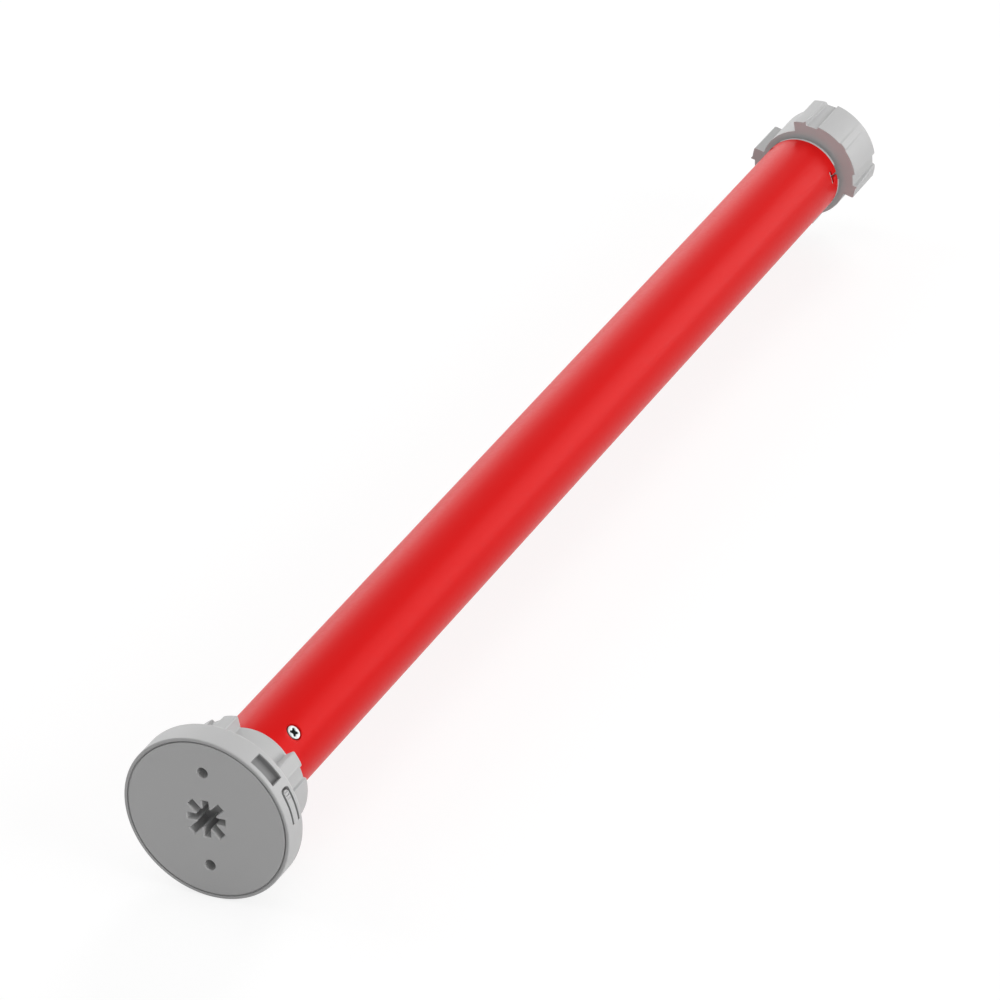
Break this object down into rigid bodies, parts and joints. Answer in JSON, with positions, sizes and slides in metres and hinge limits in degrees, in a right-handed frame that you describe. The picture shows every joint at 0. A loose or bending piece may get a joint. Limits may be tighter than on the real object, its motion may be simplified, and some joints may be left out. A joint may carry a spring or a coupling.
{
  "type": "tubular roller blind motor",
  "caption": "Battery tubular motor for a roller blind: red tube between a round grey head with a star socket and push button, a ribbed crown, and a ribbed drive wheel.",
  "frame": {"origin": "centre of the head's flat face, on the axle", "axes": "+X along the axle from the head's face to the drive wheel; Z through the two screw holes in the face; Y across them"},
  "size_m": [0.4106, 0.0484, 0.0484],
  "materials": {
    "light_grey_plastic": "light grey moulded plastic, fine texture",
    "face_plastic": "mid grey moulded plastic, smooth",
    "dark_rubber": "dark grey moulded rubber",
    "tube_red": "red enamel, satin",
    "steel": "plain steel",
    "screw_steel": "zinc plated",
    "brass": "sintered brass",
    "copper": "enamelled copper",
    "board_green": "glass-filled board with green lacquer",
    "black_plastic": "black moulded plastic",
    "nylon": "natural nylon",
    "grey_ribbon": "grey flat cable",
    "cell_wrap": "cell in shrink film",
    "magnet_ferrite": "black ferrite",
    "carbon": "pressed carbon",
    "black_rubber": "black rubber",
    "red_lead": "red insulated wire"
  },
  "bodies": {
    "motor": {"head_housing": "light_grey_plastic", "face_plate": "face_plastic", "charging_socket": "steel", "head_board": "board_green", "tact_switch": "black_plastic", "antenna_wire": "copper", "front_washer": "nylon", "rear_washer": "nylon", "tube_plug": "light_grey_plastic", "motor_tube": "tube_red", "tube_screws": "screw_steel", "head_ribbon": "grey_ribbon", "control_board": "board_green", "board_parts": "black_plastic", "battery_tray": "black_plastic", "battery_cell_1": "cell_wrap", "battery_cell_2": "cell_wrap", "battery_cell_3": "cell_wrap", "battery_insulators": "nylon", "battery_straps": "steel", "motor_leads": "red_lead", "spacer_sleeve": "nylon", "encoder_board": "board_green", "motor_can": "steel", "motor_magnets": "magnet_ferrite", "brush_cap": "black_plastic", "brushes": "carbon", "motor_bushes": "brass", "motor_damper": "black_rubber", "gear_housing": "nylon", "motor_screws": "screw_steel", "output_bush": "brass", "end_flange": "light_grey_plastic"},
    "button": {"button_tongue": "light_grey_plastic", "switch_plunger": "nylon"},
    "plug": {"port_plug": "dark_rubber"},
    "crown": {"crown": "light_grey_plastic"},
    "rotor": {"rotor_shaft": "steel", "armature": "steel", "windings": "copper", "commutator": "copper", "sun_gear": "brass", "encoder_magnet": "magnet_ferrite"},
    "carrier_1": {"carrier_1": "steel"},
    "carrier_2": {"carrier_2": "steel"},
    "output": {"output_carrier": "steel", "drive_wheel": "light_grey_plastic", "wheel_clip": "screw_steel"},
    "planet_1a": {"planet_1a": "nylon"},
    "planet_1b": {"planet_1b": "nylon"},
    "planet_1c": {"planet_1c": "nylon"},
    "planet_2a": {"planet_2a": "nylon"},
    "planet_2b": {"planet_2b": "nylon"},
    "planet_2c": {"planet_2c": "nylon"},
    "planet_3a": {"planet_3a": "nylon"},
    "planet_3b": {"planet_3b": "nylon"},
    "planet_3c": {"planet_3c": "nylon"}
  },
  "joints": [
    {"name": "crown_spin", "type": "hinge", "parent": "motor", "child": "crown", "pos_m": [0.0164, 0, 0], "axis": [1, 0, 0], "continuous": true},
    {"name": "rotor_spin", "type": "hinge", "parent": "motor", "child": "rotor", "pos_m": [0.33255, 0, 0], "axis": [1, 0, 0], "continuous": true},
    {"name": "carrier_1_spin", "type": "hinge", "parent": "motor", "child": "carrier_1", "pos_m": [0.36155, 0, 0], "axis": [1, 0, 0], "continuous": true},
    {"name": "carrier_2_spin", "type": "hinge", "parent": "motor", "child": "carrier_2", "pos_m": [0.36955, 0, 0], "axis": [1, 0, 0], "continuous": true},
    {"name": "wheel_spin", "type": "hinge", "parent": "motor", "child": "output", "pos_m": [0.39443, 0, 0], "axis": [1, 0, 0], "continuous": true},
    {"name": "planet_1a_spin", "type": "hinge", "parent": "carrier_1", "child": "planet_1a", "pos_m": [0.3576, 0.00607, 0], "axis": [1, 0, 0], "continuous": true},
    {"name": "planet_1b_spin", "type": "hinge", "parent": "carrier_1", "child": "planet_1b", "pos_m": [0.3576, -0.00304, 0.00526], "axis": [1, 0, 0], "continuous": true},
    {"name": "planet_1c_spin", "type": "hinge", "parent": "carrier_1", "child": "planet_1c", "pos_m": [0.3576, -0.00304, -0.00526], "axis": [1, 0, 0], "continuous": true},
    {"name": "planet_2a_spin", "type": "hinge", "parent": "carrier_2", "child": "planet_2a", "pos_m": [0.3657, 0.00607, 0], "axis": [1, 0, 0], "continuous": true},
    {"name": "planet_2b_spin", "type": "hinge", "parent": "carrier_2", "child": "planet_2b", "pos_m": [0.3657, -0.00304, 0.00526], "axis": [1, 0, 0], "continuous": true},
    {"name": "planet_2c_spin", "type": "hinge", "parent": "carrier_2", "child": "planet_2c", "pos_m": [0.3657, -0.00304, -0.00526], "axis": [1, 0, 0], "continuous": true},
    {"name": "planet_3a_spin", "type": "hinge", "parent": "output", "child": "planet_3a", "pos_m": [0.3738, 0.00607, 0], "axis": [1, 0, 0], "continuous": true},
    {"name": "planet_3b_spin", "type": "hinge", "parent": "output", "child": "planet_3b", "pos_m": [0.3738, -0.00304, 0.00526], "axis": [1, 0, 0], "continuous": true},
    {"name": "planet_3c_spin", "type": "hinge", "parent": "output", "child": "planet_3c", "pos_m": [0.3738, -0.00304, -0.00526], "axis": [1, 0, 0], "continuous": true},
    {"name": "button_press", "type": "hinge", "parent": "motor", "child": "button", "pos_m": [0.00469, -0.02347, 0.00197], "axis": [-1, 0, 0], "range_deg": [0, 3], "stiffness_Nm_per_rad": 0.45},
    {"name": "plug_pull", "type": "slide", "parent": "motor", "child": "plug", "axis": [0, -0.7071, 0.7071], "range_m": [0, 0.005]}
  ],
  "couplings": [
    {"joint": "carrier_1_spin", "follows": "rotor_spin", "ratio": 0.22222},
    {"joint": "carrier_2_spin", "follows": "rotor_spin", "ratio": 0.049383},
    {"joint": "wheel_spin", "follows": "rotor_spin", "ratio": 0.010974},
    {"joint": "planet_1a_spin", "follows": "rotor_spin", "ratio": -0.62222},
    {"joint": "planet_1b_spin", "follows": "rotor_spin", "ratio": -0.62222},
    {"joint": "planet_1c_spin", "follows": "rotor_spin", "ratio": -0.62222},
    {"joint": "planet_2a_spin", "follows": "rotor_spin", "ratio": -0.13827},
    {"joint": "planet_2b_spin", "follows": "rotor_spin", "ratio": -0.13827},
    {"joint": "planet_2c_spin", "follows": "rotor_spin", "ratio": -0.13827},
    {"joint": "planet_3a_spin", "follows": "rotor_spin", "ratio": -0.030727},
    {"joint": "planet_3b_spin", "follows": "rotor_spin", "ratio": -0.030727},
    {"joint": "planet_3c_spin", "follows": "rotor_spin", "ratio": -0.030727}
  ]
}
